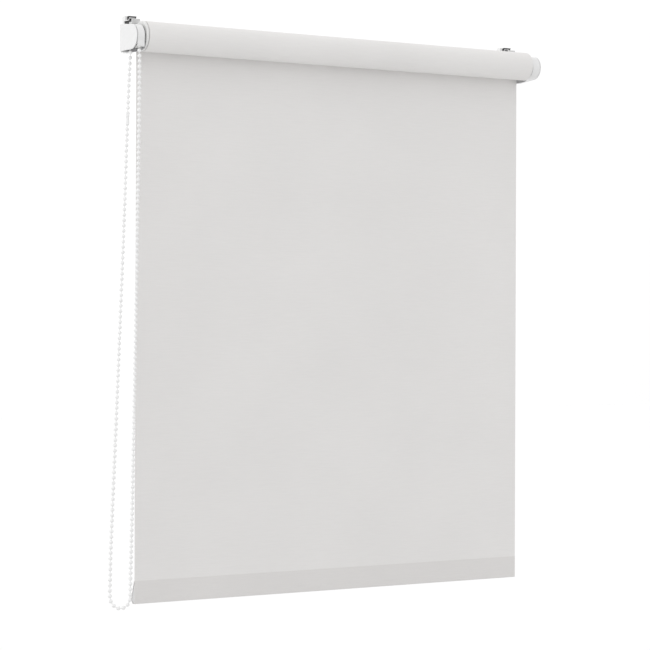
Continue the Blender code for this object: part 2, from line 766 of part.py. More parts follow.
def hook(side, lug_left, plate, foot, hole_radius, zinc, grey, steel, plastic):
    """One over-sash hook: a bracket, the strap on its holder and the clamp block with its locking lever."""
    plate_low, plate_high = plate
    lug_right = lug_left + LUG_WIDTH
    middle = lug_left + LUG_WIDTH / 2
    strap_low_x = middle - STRAP_WIDTH / 2
    strap_high_x = middle + STRAP_WIDTH / 2
    # The bracket: a plate beside the housing with a tab bent out along its top.
    bracket = prism(side + "_bracket", bracket_outline(foot), plate_low, plate_high, zinc)
    tab_low = min(plate_low, lug_left)
    tab_high = max(plate_high, lug_right)
    tab_top = LUG_BOTTOM - GAP
    tab = box(
        side + "_tab",
        (tab_low + 0.1, LUG_FRONT, TAB_LOW),
        (tab_high - 0.1, -0.3, tab_top),
        None,
    )
    join(bracket, tab)
    cut(bracket, round_cutter(side + "_bracket_bore", plate_low - 1, plate_high + 1, hole_radius, AXIS))
    # The holder: a shelf under the strap, with an upright face that hides the strap's front end.
    holder = box(
        side + "_strap_holder",
        (lug_left + 0.1, LUG_FRONT, LUG_BOTTOM + 0.1),
        (lug_right - 0.1, -0.1, SHELF_TOP),
        grey,
    )
    face = box(
        side + "_holder_face",
        (lug_left, LUG_FRONT - 0.1, LUG_BOTTOM),
        (lug_right, LUG_FRONT + 1.7, LUG_TOP),
        None,
    )
    join(holder, face)
    rivet_at = (middle, -3.0, 0.0)
    under = TAB_LOW - GAP
    hole = [(under - 1, 0), (under - 1, 1.7), (BLOCK_TOP, 1.7), (BLOCK_TOP, 0)]
    rivet_hole = turned(side + "_rivet_hole", hole, None, rivet_at, axis="Z", segments=16)
    cut(bracket, rivet_hole)
    cut(holder, rivet_hole)
    # The strap: a flat bar, a little thicker where it sits on the sash, with a raised stop and a stepped
    # slot for the clamp block's foot.
    strap = box(
        side + "_strap",
        (strap_low_x, LUG_FRONT + 2.0, STRAP_LOW),
        (strap_high_x, STRAP_END, STRAP_HIGH),
        steel,
    )
    seat = box(
        side + "_strap_seat",
        (strap_low_x + 0.01, SEAT_START, SEAT_LOW),
        (strap_high_x - 0.01, STRAP_END - 0.01, STRAP_LOW + 0.1),
        None,
    )
    stop = box(
        side + "_strap_stop",
        (strap_low_x + 0.01, 0.0, STRAP_LOW + 0.1),
        (strap_high_x - 0.01, 2.2, STRAP_HIGH + 2.0),
        None,
    )
    join(join(strap, stop), seat)
    slot = box(
        side + "_strap_slot",
        (middle - SLOT_HALF, SLOT_START, STRAP_LOW - 1),
        (middle + SLOT_HALF, SLOT_END, STRAP_HIGH + 1),
        None,
    )
    recess = box(
        side + "_strap_recess",
        (middle - RECESS_HALF, SLOT_START, STRAP_LOW - 1),
        (middle + RECESS_HALF, SLOT_END, RECESS_TOP),
        None,
    )
    for cutter in (slot, recess, rivet_hole):
        cut(strap, cutter)
    rivet = [
        (under - 0.9, 0),
        (under - 0.9, 2.2),
        (under, 2.6),
        (under, 1.35),
        (STRAP_HIGH + GAP, 1.35),
        (STRAP_HIGH + GAP, 2.6),
        (STRAP_HIGH + GAP + 0.9, 2.2),
        (STRAP_HIGH + GAP + 0.9, 0),
    ]
    turned(side + "_rivet", rivet, steel, rivet_at, axis="Z", segments=16)
    clamp_block(side, middle, plastic)
    locking_lever(side, middle, steel)


def clamp_block(side, middle, plastic):
    """Slides along the strap, held by a foot in the stepped slot. Its leg goes down behind the sash."""
    rear_half = LUG_WIDTH / 2
    front_half = rear_half - LEVER_EAR - GAP
    base = STRAP_HIGH + 0.6
    origin = (middle, 0.0, base)
    block = box(
        side + "_clamp_block",
        (middle - rear_half, LEVER_CLEAR_Y, base),
        (middle + rear_half, BLOCK_REAR, BLOCK_TOP),
        plastic,
        origin,
    )
    front = box(
        side + "_block_front",
        (middle - front_half, 2.8, base + 0.02),
        (middle + front_half, LEVER_CLEAR_Y + 1, BLOCK_FRONT_TOP),
        None,
    )
    leg = box(
        side + "_block_leg",
        (middle - rear_half + 0.05, STRAP_END + GAP, LEG_LOW),
        (middle + rear_half - 0.05, BLOCK_REAR - 0.05, base + 2),
        None,
    )
    foot_start = SLOT_START + GAP
    foot_end = foot_start + FOOT_LENGTH
    neck_half = SLOT_HALF - GAP
    neck = box(
        side + "_block_neck",
        (middle - neck_half, foot_start, STRAP_LOW + 0.3),
        (middle + neck_half, foot_end, base + 1),
        None,
    )
    foot_half = RECESS_HALF - 0.4
    foot = box(
        side + "_block_foot",
        (middle - foot_half, foot_start + 0.05, STRAP_LOW + 0.2),
        (middle + foot_half, foot_end - 0.05, RECESS_TOP - GAP),
        None,
    )
    for piece in (front, leg, neck, foot):
        join(block, piece)
    pivot = (middle, *LEVER_PIVOT)
    reach = rear_half + 1.0
    cut(block, round_cutter(side + "_pivot_bore", middle - reach, middle + reach, PIVOT_BORE, pivot, 12))
    length = rear_half - 0.1
    pin = [
        (middle - length, 0),
        (middle - length, PIVOT_BORE - GAP),
        (middle + length, PIVOT_BORE - GAP),
        (middle + length, 0),
    ]
    turned(side + "_lever_pin", pin, plastic, pivot, segments=12)


def locking_lever(side, middle, steel):
    """A bent sheet: a thumb plate on top and a slanting ear each side, which turn on the pin."""
    half = LUG_WIDTH / 2
    pivot_y, pivot_z = LEVER_PIVOT
    front = LEVER_FRONT
    top = LEVER_TOP
    low = top - LEVER_THICK
    pivot = (middle, pivot_y, pivot_z)
    plate = [(front, top), (front, low), (LEVER_BACK, low), (LEVER_BACK, top)]
    lever = prism(side + "_locking_lever", plate, middle - half, middle + half, steel, pivot)
    round_end = arc_points((pivot_y, pivot_z), EAR_RADIUS, -135, 45)
    ear = [(front + 0.9, top - 0.05), (front + 0.9, low - 0.1), *round_end, (LEVER_BACK - 0.2, top - 0.05)]
    hole = round_cutter(side + "_ear_bore", middle - half - 1, middle + half + 1, PIVOT_BORE, pivot, 12)
    for letter, ear_low in (("l", middle - half + 0.02), ("r", middle + half - LEVER_EAR)):
        join(lever, prism(side + "_ear_" + letter, ear, ear_low, ear_low + LEVER_EAR - 0.02, None))
    cut(lever, hole)


def main():
    start_clean()
    plastic = make_material("white_plastic", (0.84, 0.84, 0.84), 0.35)
    bead = make_material("bead_plastic", (0.82, 0.82, 0.82), 0.3)
    fabric = make_material("fabric", (0.62, 0.62, 0.62), 0.9)
    aluminium = make_material("aluminium", (0.75, 0.76, 0.78), 0.4, 1.0)
    steel = make_material("dark_steel", (0.10, 0.10, 0.11), 0.45, 0.8)
    zinc = make_material("spring_steel", (0.5, 0.5, 0.5), 0.4, 0.8)
    grey = make_material("grey_plastic", (0.58, 0.58, 0.58), 0.5)
    tape = make_material("tape", (0.9, 0.9, 0.86), 0.6)
    drive_end(plastic, steel)
    chain(bead)
    roller(plastic, aluminium, fabric, tape)
    idle_end(plastic, steel)
    hanging_fabric(fabric, aluminium, grey)
    drive_plate = (DRIVE_INNER + 0.4, DRIVE_INNER + 1.2)
    idle_plate = (FABRIC_RIGHT + 0.4, IDLE_INNER - GAP)
    drive_hole = NECK_RADIUS + 0.4
    idle_hole = PIN_RADIUS + 0.6
    hook("drive", DRIVE_LUG_LEFT, drive_plate, DRIVE_PLATE_FOOT, drive_hole, zinc, grey, steel, plastic)
    hook("idle", IDLE_LUG_LEFT, idle_plate, IDLE_PLATE_FOOT, idle_hole, zinc, grey, steel, plastic)


main()
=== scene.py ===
"""Looks for the hook-over-sash roller blind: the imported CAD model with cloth, chain and finished surfaces.

Everything is in metres, in the part's own frame: X along the roller, Y back into the window, Z up.
"""

import math

import bmesh
import bpy
from mathutils import Matrix, Vector


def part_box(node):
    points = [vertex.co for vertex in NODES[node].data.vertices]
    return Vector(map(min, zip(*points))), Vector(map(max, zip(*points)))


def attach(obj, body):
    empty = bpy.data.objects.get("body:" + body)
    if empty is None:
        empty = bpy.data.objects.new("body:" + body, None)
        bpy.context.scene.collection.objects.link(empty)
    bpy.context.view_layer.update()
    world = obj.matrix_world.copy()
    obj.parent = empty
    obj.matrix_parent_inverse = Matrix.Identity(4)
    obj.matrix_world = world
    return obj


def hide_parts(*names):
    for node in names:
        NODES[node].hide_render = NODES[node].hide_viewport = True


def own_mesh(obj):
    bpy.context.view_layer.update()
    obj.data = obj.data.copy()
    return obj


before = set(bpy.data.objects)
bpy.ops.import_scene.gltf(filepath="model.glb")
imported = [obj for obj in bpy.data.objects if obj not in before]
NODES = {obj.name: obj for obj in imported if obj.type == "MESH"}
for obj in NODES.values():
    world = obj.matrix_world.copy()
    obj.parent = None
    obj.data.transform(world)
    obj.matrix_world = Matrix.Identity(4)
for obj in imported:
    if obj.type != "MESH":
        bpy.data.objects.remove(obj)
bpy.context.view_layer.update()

MM = 0.001

# Camera: its place, its turn in degrees, and its lens
CAMERA_PLACE = (-1.0239, -2.1631, -0.3200)
CAMERA_YAW = 30.798
CAMERA_PITCH = -0.050
CAMERA_ROLL = 0.193
LENS_MM = 117.06
SENSOR_MM = 36.0

# Bead chain
BEAD_RADIUS = 2.25 * MM
BEAD_PITCH = 6.0 * MM
BEAD_MOUTH = 0.75 * MM
BEAD_RINGS = 9
BEAD_SEGMENTS = 14
STRING_RADIUS = 0.55 * MM
STRING_SEGMENTS = 6
ROUTE_STEPS = 40

# Snap connector: its barrel, with a waist between two collars
CONNECTOR_MOUTH = 0.9 * MM
CONNECTOR_LIP = 0.55 * MM
CONNECTOR_ROUND = 0.2 * MM
CONNECTOR_WAIST = 0.3 * MM
CONNECTOR_SEGMENTS = 28

# The idle pin's spring
WIRE_RADIUS = 0.4 * MM
WIRE_SEGMENTS = 10
SPRING_TURNS = 6
COIL_STEPS = 24

# Cloth
CLOTH_THICK = 0.4 * MM
THREAD_PITCH = 0.55 * MM
SHEET_COLUMNS = 48
SHEET_ROWS = 56
RIPPLE = 0.22 * MM
ROLL_TURNS = 5
ROLL_STEPS = 72
TAPE_ROOM = 0.45 * MM
PEEL_TURNS = 0.14

# Hem: the folded cloth's wall, the width of its top and the height of its rear shoulder
HEM_WALL = 0.55 * MM
HEM_NECK = 1.7 * MM
HEM_SHOULDER = 4.6 * MM
HEM_HEEL = 3.2 * MM
HEM_LAP_UP = 0.5 * MM
HEM_LAP_FORWARD = 0.2 * MM
HEM_COLUMNS = 60


# Camera


def make_camera():
    """A long lens to the left of the blind, level with its middle."""
    yaw = math.radians(CAMERA_YAW)
    pitch = math.radians(CAMERA_PITCH)
    roll = math.radians(CAMERA_ROLL)
    ahead = Vector((math.sin(yaw) * math.cos(pitch), math.cos(yaw) * math.cos(pitch), math.sin(pitch)))
    level = Vector((math.cos(yaw), -math.sin(yaw), 0.0))
    upright = level.cross(ahead)
    right = level * math.cos(roll) + upright * math.sin(roll)
    up = upright * math.cos(roll) - level * math.sin(roll)
    data = bpy.data.cameras.new("camera")
    data.lens = LENS_MM
    data.sensor_width = SENSOR_MM
    data.clip_start = 0.05
    data.clip_end = 60.0
    camera = bpy.data.objects.new("camera", data)
    turn = Matrix((right, up, -ahead)).transposed().to_4x4()
    camera.matrix_world = Matrix.Translation(Vector(CAMERA_PLACE)) @ turn
    bpy.context.scene.collection.objects.link(camera)
    bpy.context.scene.camera = camera


# Node materials


class Surface:
    """A Principled material with short calls for the procedural nodes that shape it."""

    def __init__(self, name, roughness, metallic=0.0, specular=0.5):
        self.material = bpy.data.materials.new(name)
        self.material.use_nodes = True
        self.tree = self.material.node_tree
        self.shader = self.tree.nodes["Principled BSDF"]
        self.shader.inputs["Roughness"].default_value = roughness
        self.shader.inputs["Metallic"].default_value = metallic
        self.shader.inputs["Specular IOR Level"].default_value = specular
        self.place = self.tree.nodes.new("ShaderNodeTexCoord").outputs["Object"]

    def add(self, kind, **settings):
        node = self.tree.nodes.new(kind)
        for key, value in settings.items():
            setattr(node, key, value)
        return node

    def link(self, source, target):
        self.tree.links.new(source, target)

    def set(self, **values):
        for name, value in values.items():
            self.shader.inputs[name.replace("_", " ")].default_value = value

    def stretched(self, scale):
        """The object coordinates scaled per axis."""
        mapping = self.add("ShaderNodeMapping")
        mapping.inputs["Scale"].default_value = scale
        self.link(self.place, mapping.inputs["Vector"])
        return mapping.outputs["Vector"]

    def noise(self, scale, detail=3.0, roughness=0.5, vector=None):
        node = self.add("ShaderNodeTexNoise")
        node.inputs["Scale"].default_value = scale
        node.inputs["Detail"].default_value = detail
        node.inputs["Roughness"].default_value = roughness
        self.link(vector or self.place, node.inputs["Vector"])
        return node.outputs["Fac"]

    def bands(self, direction, pitch, distortion=0.0):
        """A wave with one crest for each pitch along an axis."""
        node = self.add("ShaderNodeTexWave", wave_type="BANDS", bands_direction=direction)
        # Blender's wave texture has a crest every 2 pi / 20 at a scale of 1.
        node.inputs["Scale"].default_value = 2 * math.pi / (20 * pitch)
        node.inputs["Distortion"].default_value = distortion
        node.inputs["Detail"].default_value = 1.0
        node.inputs["Detail Scale"].default_value = 0.3
        self.link(self.place, node.inputs["Vector"])
        return node.outputs["Fac"]

    def math(self, operation, first, second):
        node = self.add("ShaderNodeMath", operation=operation)
        for slot, value in enumerate((first, second)):
            if isinstance(value, (int, float)):
                node.inputs[slot].default_value = value
            else:
                self.link(value, node.inputs[slot])
        return node.outputs["Value"]

    def ramp(self, factor, stops, socket):
        """Colours or greys along a 0-1 factor, into one of the shader's sockets."""
        node = self.add("ShaderNodeValToRGB")
        elements = node.color_ramp.elements
        while len(elements) < len(stops):
            elements.new(0.5)
        for element, (place, color) in zip(elements, stops):
            element.position = place
            tint = color if isinstance(color, tuple) else (color, color, color)
            element.color = (*tint, 1.0)
        self.link(factor, node.inputs["Fac"])
        self.link(node.outputs["Color"], self.shader.inputs[socket])

    def bump(self, height, distance, strength=1.0):
        """Relief from a 0-1 height, in the shader's normal."""
        node = self.add("ShaderNodeBump")
        node.inputs["Strength"].default_value = strength
        node.inputs["Distance"].default_value = distance
        self.link(height, node.inputs["Height"])
        self.link(node.outputs["Normal"], self.shader.inputs["Normal"])


def white_plastic(name, tint, roughness):
    """Moulded plastic: satin, faintly mottled, with a fine spark-eroded grain."""
    surface = Surface(name, roughness)
    mottle = surface.noise(90.0, 4.0, 0.6)
    low = tuple(c * 0.965 for c in tint)
    surface.ramp(mottle, ((0.3, low), (0.7, tint)), "Base Color")
    surface.ramp(surface.noise(420.0), ((0.3, roughness - 0.06), (0.7, roughness + 0.08)), "Roughness")
    surface.bump(surface.noise(2600.0, 2.0), 0.02 * MM, 0.5)
    return surface.material


def cloth(name, tint, ridge=1.0):
    """Plain-woven polyester: crossing threads with slubs, matt, with a little sheen."""
    surface = Surface(name, 0.85, specular=0.2)
    warp = surface.bands("X", THREAD_PITCH, 0.35)
    weft = surface.bands("Z", THREAD_PITCH, 0.35)
    across = surface.math("SUBTRACT", warp, 0.5)
    upward = surface.math("SUBTRACT", weft, 0.5)
    checks = surface.math("MULTIPLY", across, upward)
    threads = surface.math("ADD", surface.math("MULTIPLY", checks, 2.0), 0.5)
    slubs = surface.noise(1.0, 3.0, 0.6, surface.stretched((60.0, 400.0, 1400.0)))
    height = surface.math("ADD", threads, surface.math("MULTIPLY", slubs, 0.8))
    clouds = surface.noise(7.0, 2.0)
    shade = surface.math("ADD", surface.math("MULTIPLY", slubs, 0.5), surface.math("MULTIPLY", clouds, 0.5))
    low = tuple(c * 0.965 for c in tint)
    high = tuple(min(c * 1.02, 1.0) for c in tint)
    surface.ramp(shade, ((0.3, low), (0.7, high)), "Base Color")
    surface.ramp(threads, ((0.0, 0.92), (1.0, 0.80)), "Roughness")
    surface.bump(height, 0.06 * MM, 0.45 * ridge)
    surface.set(Sheen_Weight=0.12, Sheen_Roughness=0.4)
    return surface.material


def metal(name, tint, roughness, grain, metallic=1.0):
    """Drawn or rolled metal: fine lines along X, with duller patches."""
    surface = Surface(name, roughness, metallic)
    lines = surface.noise(1.0, 4.0, 0.6, surface.stretched(grain))
    patches = surface.noise(160.0, 3.0)
    low = tuple(c * 0.85 for c in tint)
    surface.ramp(patches, ((0.35, low), (0.65, tint)), "Base Color")
    surface.ramp(lines, ((0.3, roughness - 0.08), (0.7, roughness + 0.12)), "Roughness")
    surface.bump(lines, 0.01 * MM, 0.6)
    return surface.material


def grey_plastic(name, tint, roughness):
    """Matt moulded plastic: an even grey with a fine orange peel."""
    surface = Surface(name, roughness, 0.0)
    low = tuple(c * 0.93 for c in tint)
    surface.ramp(surface.noise(140.0, 4.0), ((0.3, low), (0.7, tint)), "Base Color")
    surface.bump(surface.noise(1500.0, 2.0), 0.03 * MM, 0.6)
    return surface.material


def chip_black(name):
    """Blackened steel whose thin finish is rubbed through to grey in specks."""
    surface = Surface(name, 0.45, 0.6)
    specks = surface.noise(900.0, 5.0, 0.7)
    surface.ramp(specks, ((0.55, 0.04), (0.75, 0.18)), "Base Color")
    surface.ramp(surface.noise(300.0), ((0.3, 0.36), (0.7, 0.56)), "Roughness")
    surface.bump(specks, 0.01 * MM, 0.5)
    return surface.material


def adhesive_tape(name):
    """Cream tape with fibres along X."""
    surface = Surface(name, 0.55)
    fibres = surface.noise(1.0, 3.0, 0.5, surface.stretched((40.0, 900.0, 900.0)))
    surface.ramp(fibres, ((0.3, (0.78, 0.77, 0.70)), (0.7, (0.86, 0.85, 0.79))), "Base Color")
    surface.bump(fibres, 0.03 * MM, 0.5)
    return surface.material


def bead_plastic(name):
    """Glossy moulded beads, faintly mottled."""
    surface = Surface(name, 0.22)
    # Painted light: the base colour sits above plain white plastic, standing in for light shining through
    # the beads; the mottle within it is random tone.
    surface.ramp(surface.noise(260.0, 2.0), ((0.3, 0.90), (0.7, 0.94)), "Base Color")
    surface.ramp(surface.noise(500.0, 2.0), ((0.3, 0.18), (0.7, 0.30)), "Roughness")
    surface.bump(surface.noise(1800.0, 2.0), 0.01 * MM, 0.4)
    return surface.material


WHITE = white_plastic("white_plastic", (0.86, 0.86, 0.86), 0.34)
INNER_WHITE = white_plastic("inner_white_plastic", (0.80, 0.80, 0.79), 0.42)
BEADS = bead_plastic("bead_plastic")
CLOTH = cloth("blind_cloth", (0.830, 0.817, 0.807))
# Painted shade: the hem is the same cloth in a darker tint, standing in for less light shining through the
# doubled fold.
SHADED_HEM_CLOTH = cloth("hem_cloth_painted_shade", (0.768, 0.752, 0.741))
ALUMINIUM = metal("drawn_aluminium", (0.80, 0.80, 0.81), 0.34, (30.0, 1800.0, 1800.0))
SPRING = metal("spring_steel", (0.55, 0.55, 0.56), 0.30, (2500.0, 2500.0, 2500.0))
BLACK_STEEL = chip_black("blackened_steel")
GREY = grey_plastic("grey_plastic", (0.68, 0.68, 0.68), 0.5)
ZINC = metal("zinc_plated_steel", (0.50, 0.50, 0.51), 0.5, (700.0, 700.0, 700.0), 0.2)
TAPE = adhesive_tape("adhesive_tape")


# Mesh building


def new_piece(name, bm, material, body, smooth_angle=35):
    """Turns a bmesh into an object that rides on a body."""
    bmesh.ops.recalc_face_normals(bm, faces=bm.faces)
    mesh = bpy.data.meshes.new(name)
    bm.to_mesh(mesh)
    bm.free()
    mesh.shade_smooth()
    mesh.set_sharp_from_angle(angle=math.radians(smooth_angle))
    mesh.materials.append(material)
    obj = bpy.data.objects.new(name, mesh)
    bpy.context.scene.collection.objects.link(obj)
    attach(obj, body)
    return obj


def swept(bm, sections, closed_section=True, caps=True):
    """Joins rows of points, each a section of the same length, into a skin."""
    rows = [[bm.verts.new(p) for p in section] for section in sections]
    count = len(rows[0])
    last = count if closed_section else count - 1
    for first, second in zip(rows, rows[1:]):
        for k in range(last):
            after = (k + 1) % count
            bm.faces.new((first[k], first[after], second[after], second[k]))
    if caps:
        bm.faces.new(rows[0][::-1])
        bm.faces.new(rows[-1])
    return rows


# Bead chain. The route is the CAD model's own, in metres.

CHAIN_LOOP = (
    (0.0002, -0.0394, -0.0116),
    (0.0008, -0.0395, -0.0240),
    (0.0010, -0.0394, -0.0520),
    (0.0006, -0.0392, -0.1060),
    (-0.0006, -0.0389, -0.2000),
    (-0.0020, -0.0385, -0.3000),
    (-0.0034, -0.0380, -0.4000),
    (-0.0049, -0.0375, -0.5000),
    (-0.0062, -0.0369, -0.5720),
    (-0.0069, -0.0366, -0.6060),
    (-0.0072, -0.0364, -0.6260),
    (-0.0085, -0.0352, -0.6320),
    (-0.0116, -0.0324, -0.6364),
    (-0.0159, -0.0286, -0.6380),
    (-0.0202, -0.0248, -0.6362),
    (-0.0233, -0.0220, -0.6316),
    (-0.0245, -0.0209, -0.6250),
    (-0.0243, -0.0207, -0.6060),
    (-0.0234, -0.0205, -0.5720),
    (-0.0203, -0.0202, -0.5000),
    (-0.0160, -0.0200, -0.4000),
    (-0.0119, -0.0198, -0.3000),
    (-0.0079, -0.0196, -0.2000),
    (-0.0044, -0.0193, -0.0980),
)
CHAIN_TAIL = (
    (-0.0039, -0.0193, -0.0860),
    (-0.0026, -0.0191, -0.0540),
    (-0.0014, -0.0193, -0.0300),
    (-0.0003, -0.0196, -0.0116),
)


def smooth_route(points, spacing):
    """Points at even spacing along a smooth curve through the given ones."""
    dense = []
    padded = [points[0], *points, points[-1]]
    for a, b, c, d in zip(padded, padded[1:], padded[2:], padded[3:]):
        a, b, c, d = Vector(a), Vector(b), Vector(c), Vector(d)
        span = (c - b).length
        start = (c - a).normalized() * span
        end = (d - b).normalized() * span
        for k in range(ROUTE_STEPS):
            t = k / ROUTE_STEPS
            dense.append(
                b * (2 * t**3 - 3 * t**2 + 1)
                + start * (t**3 - 2 * t**2 + t)
                + c * (-2 * t**3 + 3 * t**2)
                + end * (t**3 - t**2)
            )
    dense.append(Vector(points[-1]))
    lengths = [0.0]
    for first, second in zip(dense, dense[1:]):
        lengths.append(lengths[-1] + (second - first).length)
    steps = max(1, round(lengths[-1] / spacing))
    even = []
    place = 0
    for k in range(steps + 1):
        want = lengths[-1] * k / steps
        while place < len(lengths) - 2 and lengths[place + 1] < want:
            place += 1
        share = (want - lengths[place]) / max(lengths[place + 1] - lengths[place], 1e-12)
        even.append(dense[place].lerp(dense[place + 1], min(share, 1.0)))
    return even


def along(points, k):
    """The direction of the route at its k-th point."""
    before = points[max(k - 1, 0)]
    after = points[min(k + 1, len(points) - 1)]
    return (after - before).normalized()


def add_bead(bm, centre, direction):
    """A ball, flat where the string enters it."""
    turn = Vector((0, 0, 1)).rotation_difference(direction).to_matrix()
    mouth = math.asin(BEAD_MOUTH / BEAD_RADIUS)
    sections = []
    for r in range(BEAD_RINGS):
        lean = mouth + (math.pi - 2 * mouth) * r / (BEAD_RINGS - 1)
        radius = BEAD_RADIUS * math.sin(lean)
        height = BEAD_RADIUS * math.cos(lean)
        ring = []
        for s in range(BEAD_SEGMENTS):
            a = 2 * math.pi * s / BEAD_SEGMENTS
            ring.append(centre + turn @ Vector((radius * math.cos(a), radius * math.sin(a), height)))
        sections.append(ring)
    swept(bm, sections)


def add_string(bm, points):
    """The thin moulded link between beads."""
    sections = []
    for k, point in enumerate(points):
        turn = Vector((0, 0, 1)).rotation_difference(along(points, k)).to_matrix()
        ring = []
        for s in range(STRING_SEGMENTS):
            a = 2 * math.pi * s / STRING_SEGMENTS
            ring.append(point + turn @ Vector((math.cos(a), math.sin(a), 0)) * STRING_RADIUS)
        sections.append(ring)
    swept(bm, sections)


def bead_chain():
    """The free chain: its front strand, the bottom bend and the rear strand, with the connector between."""
    bm = bmesh.new()
    loop = smooth_route(CHAIN_LOOP, BEAD_PITCH)
    tail = smooth_route(CHAIN_TAIL, BEAD_PITCH)
    add_string(bm, smooth_route(CHAIN_LOOP, BEAD_PITCH / 2))
    add_string(bm, smooth_route(CHAIN_TAIL, BEAD_PITCH / 2))
    for strand in (loop, tail):
        for k, point in enumerate(strand):
            add_bead(bm, point, along(strand, k))
    chain = new_piece("bead_chain", bm, BEADS, "root", 60)
    connector = chain_connector()
    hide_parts("chain_loop", "chain_tail")


def chain_connector():
    """A snap connector: a waisted barrel that grips the last bead of each end."""
    low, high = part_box("chain_connector")
    middle = (low + high) / 2
    half = (high.z - low.z) / 2
    radius = (high.x - low.x) / 2
    profile = (
        (-half, CONNECTOR_MOUTH),
        (-half, radius - CONNECTOR_LIP),
        (-half + 0.25 * MM, radius - CONNECTOR_ROUND),
        (-half + 0.7 * MM, radius),
        (-1.6 * MM, radius),
        (-1.2 * MM, radius - CONNECTOR_WAIST),
        (1.2 * MM, radius - CONNECTOR_WAIST),
        (1.6 * MM, radius),
        (half - 0.7 * MM, radius),
        (half - 0.25 * MM, radius - CONNECTOR_ROUND),
        (half, radius - CONNECTOR_LIP),
        (half, CONNECTOR_MOUTH),
    )
    bm = bmesh.new()
    sections = []
    for height, size in profile:
        ring = []
        for s in range(CONNECTOR_SEGMENTS):
            a = 2 * math.pi * s / CONNECTOR_SEGMENTS
            ring.append(middle + Vector((math.cos(a) * size, math.sin(a) * size, height)))
        sections.append(ring)
    swept(bm, sections)
    piece = new_piece("snap_connector", bm, BEADS, "root", 40)
    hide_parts("chain_connector")
    return piece


# The idle pin's spring


def pin_spring():
    """The coil behind the idle pin, built as a fixed coil the length of the CAD spring; the real one
    shortens as the pin is pushed in.
    """
    low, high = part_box("idle_spring")
    middle = (low + high) / 2
    mean_radius = (high.z - low.z) / 2 - WIRE_RADIUS
    start = low.x + WIRE_RADIUS
    end = high.x - WIRE_RADIUS
    count = SPRING_TURNS * COIL_STEPS
    route = []
    for k in range(count + 1):
        angle = 2 * math.pi * k / COIL_STEPS
        x = start + (end - start) * k / count
        y = middle.y + mean_radius * math.cos(angle)
        z = middle.z + mean_radius * math.sin(angle)
        route.append(Vector((x, y, z)))
    bm = bmesh.new()
    sections = []
    for k, point in enumerate(route):
        inward = (Vector((point.x, middle.y, middle.z)) - point).normalized()
        side = inward.cross(along(route, k))
        ring = []
        for s in range(WIRE_SEGMENTS):
            a = 2 * math.pi * s / WIRE_SEGMENTS
            ring.append(point + (inward * math.cos(a) + side * math.sin(a)) * WIRE_RADIUS)
        sections.append(ring)
    swept(bm, sections)
    spring = new_piece("pin_spring", bm, SPRING, "root", 60)
    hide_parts("idle_spring")
    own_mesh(spring)


# Cloth


def hanging_sheet():
    """The flat drop of cloth, a thin closed slab with the faintest ripple, held still at its edges."""
    low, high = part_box("fabric_sheet")
    columns = SHEET_COLUMNS
    rows = SHEET_ROWS
    middle = (low.y + high.y) / 2
    bm = bmesh.new()
    faces = []
    for side in (-1, 1):
        grid = []
        for j in range(rows + 1):
            v = j / rows
            line = []
            for i in range(columns + 1):
                u = i / columns
                still = math.sin(math.pi * v) * (0.35 + 0.65 * math.sin(math.pi * u))
                ripple = RIPPLE * still * math.sin(9.4 * u + 1.1 + 1.7 * v)
                x = low.x + (high.x - low.x) * u
                z = low.z + (high.z - low.z) * v
                line.append(bm.verts.new((x, middle + ripple + side * CLOTH_THICK / 2, z)))
            grid.append(line)
        faces.append(grid)
    front, back = faces
    for j in range(rows):
        for i in range(columns):
            for grid in faces:
                bm.faces.new((grid[j][i], grid[j][i + 1], grid[j + 1][i + 1], grid[j + 1][i]))
    for j in range(rows):
        for i in (0, columns):
            bm.faces.new((front[j][i], front[j + 1][i], back[j + 1][i], back[j][i]))
    for i in range(columns):
        for j in (0, rows):
            bm.faces.new((front[j][i], front[j][i + 1], back[j][i + 1], back[j][i]))
    sheet = new_piece("hanging_cloth", bm, CLOTH, "hem")
    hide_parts("fabric_sheet")
    drop = high.z - low.z
    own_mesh(sheet)
    return sheet, (high.x - low.x, drop)


def wound_cloth():
    """The layers on the tube: a strip wound as a spiral, whose outer end lifts off behind to hang down."""
    low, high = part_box("fabric_roll")
    axis_y = (low.y + high.y) / 2
    axis_z = (low.z + high.z) / 2
    outer = (high.z - low.z) / 2 - CLOTH_THICK / 2
    sheet_low, sheet_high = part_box("fabric_sheet")
    leave = (sheet_low.y + sheet_high.y) / 2 - axis_y
    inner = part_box("roller_tube")[1].y - axis_y + TAPE_ROOM
    count = ROLL_TURNS * ROLL_STEPS
    # "back" counts turns from the outer end inwards.
    centre_line = []
    for k in range(count + 1):
        back = k / ROLL_STEPS
        radius = outer - (outer - inner) * min(back / ROLL_TURNS, 1.0)
        lift = max(0.0, 1.0 - back / PEEL_TURNS)
        radius += (leave - outer) * lift * lift * (3 - 2 * lift)
        angle = 2 * math.pi * back
        centre_line.append((angle, radius))
    bm = bmesh.new()
    sections = []
    for angle, radius in centre_line:
        section = []
        for x, r in ((low.x, -1), (high.x, -1), (high.x, 1), (low.x, 1)):
            size = radius + r * CLOTH_THICK / 2
            section.append((x, axis_y + size * math.cos(angle), axis_z + size * math.sin(angle)))
        sections.append(section)
    swept(bm, sections)
    roll = new_piece("wound_cloth", bm, CLOTH, "roller", 40)
    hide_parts("fabric_roll")
    return roll


